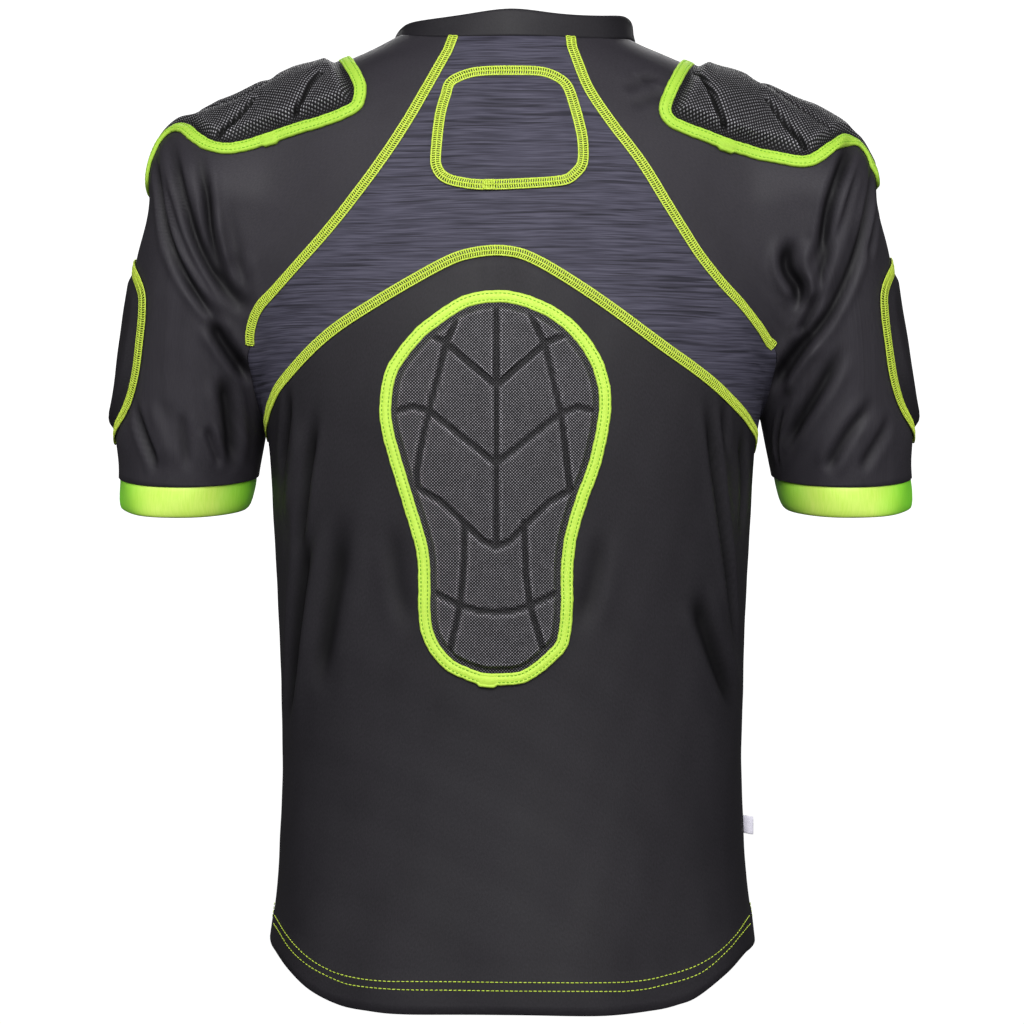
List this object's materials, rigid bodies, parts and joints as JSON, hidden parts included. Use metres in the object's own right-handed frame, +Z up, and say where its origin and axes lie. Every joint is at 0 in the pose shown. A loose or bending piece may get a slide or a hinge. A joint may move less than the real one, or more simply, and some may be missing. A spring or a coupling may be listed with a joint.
{
  "type": "rugby shoulder pads",
  "caption": "Short-sleeved padded rugby top with raglan sleeves, a streaky back yoke, lime bindings round moulded back and shoulder pads, lime cuffs and a shirt-tail hem.",
  "frame": {"origin": "middle of the neck opening at the height of the neck's side seams, where the wearer holds the top up", "axes": "+Z up, out of the neck; +Y to the garment's front, so the back faces -Y; +X to the wearer's right"},
  "size_m": [0.5841, 0.2442, 0.7006],
  "materials": {
    "cloth_black": "smooth black stretch knit with a slight sheen",
    "cloth_slate": "slate-navy knit with fine sideways dark streaks",
    "mesh_pad": "charcoal dotted mesh over moulded foam",
    "trim_lime": "lime binding and thread",
    "cuff_lime": "satin lime band",
    "label_white": "blank woven tab"
  },
  "bodies": {
    "root": {"back_lower": "cloth_black", "back_yoke": "cloth_slate", "front": "cloth_black", "sleeve_left": "cloth_black", "sleeve_right": "cloth_black", "collar": "cloth_black", "cuff_left": "cuff_lime", "cuff_right": "cuff_lime", "back_pad": "mesh_pad", "shoulder_pad_left": "mesh_pad", "shoulder_pad_right": "mesh_pad", "yoke_pad": "cloth_slate", "sleeve_pad_left": "cloth_black", "sleeve_pad_right": "cloth_black", "back_binding": "trim_lime", "shoulder_binding_left": "trim_lime", "shoulder_binding_right": "trim_lime", "side_label": "label_white"}
  },
  "joints": []
}
